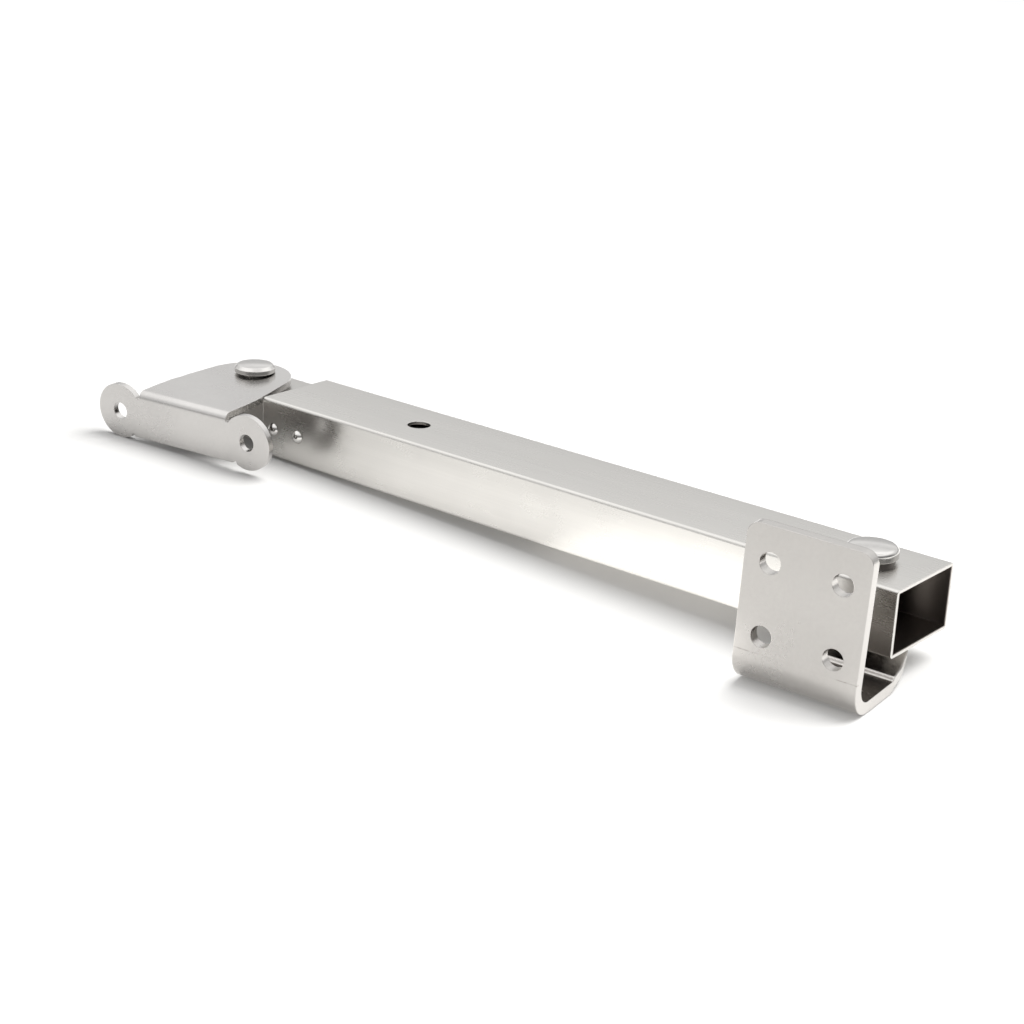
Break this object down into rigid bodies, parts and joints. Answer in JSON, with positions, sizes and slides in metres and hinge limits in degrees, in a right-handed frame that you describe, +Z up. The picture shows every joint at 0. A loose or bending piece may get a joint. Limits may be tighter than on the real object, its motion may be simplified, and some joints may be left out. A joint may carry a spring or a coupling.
{
  "type": "lid stay",
  "caption": "Telescopic locking lid stay: rectangular steel tubes that slide in each other, with a folded mounting bracket on a riveted pivot pin at each end, shown closed",
  "frame": {"origin": "centre of the base bracket's four holes, on the face that meets the wall", "axes": "+X along the wall towards the open tube end, +Y away from the wall, +Z up the base plate; the stay lies swung by 5.4 degrees and leaned by 1.95 degrees on its base pin"},
  "size_m": [0.2765, 0.0763, 0.0444],
  "materials": {
    "stainless": "stainless steel, brushed along the tube, satin on the brackets",
    "polished": "polished stainless steel",
    "nylon": "black nylon",
    "spring_steel": "drawn spring wire"
  },
  "bodies": {
    "base": {"base_bracket": "stainless"},
    "outer": {"outer_tube": "stainless", "base_bush": "polished", "mouth_guide": "nylon", "guide_rivets": "polished", "base_pin": "polished", "base_head_washer": "stainless", "base_thrust_washer": "nylon", "base_spacer": "stainless"},
    "inner": {"inner_tube": "stainless", "rear_shoe": "nylon", "lock_block": "nylon", "block_rivet": "polished", "lid_pin": "polished", "lid_bush": "polished", "lid_washer": "nylon", "lid_tail_washer": "polished"},
    "button": {"lock_button": "polished", "button_spring": "spring_steel"},
    "lid": {"lid_bracket": "stainless"}
  },
  "joints": [
    {"name": "base_pivot", "type": "hinge", "parent": "base", "child": "outer", "pos_m": [0, 0.0414, -0.0222], "axis": [-0.0339, 0.0032, 0.9994], "range_deg": [-180, 35]},
    {"name": "tube_slide", "type": "slide", "parent": "outer", "child": "inner", "axis": [-0.995, 0.0941, -0.034], "range_m": [0, 0.138]},
    {"name": "lid_pivot", "type": "hinge", "parent": "inner", "child": "lid", "pos_m": [-0.22625, 0.06279, -0.00677], "axis": [-0.0339, 0.0032, 0.9994], "range_deg": [-180, 0]},
    {"name": "button_press", "type": "slide", "parent": "inner", "child": "button", "axis": [-0.0339, 0.0032, 0.9994], "range_m": [-0.002, 0], "stiffness_N_per_m": 1500, "springref_m": 0.0035, "deforming": ["button_spring"]}
  ]
}
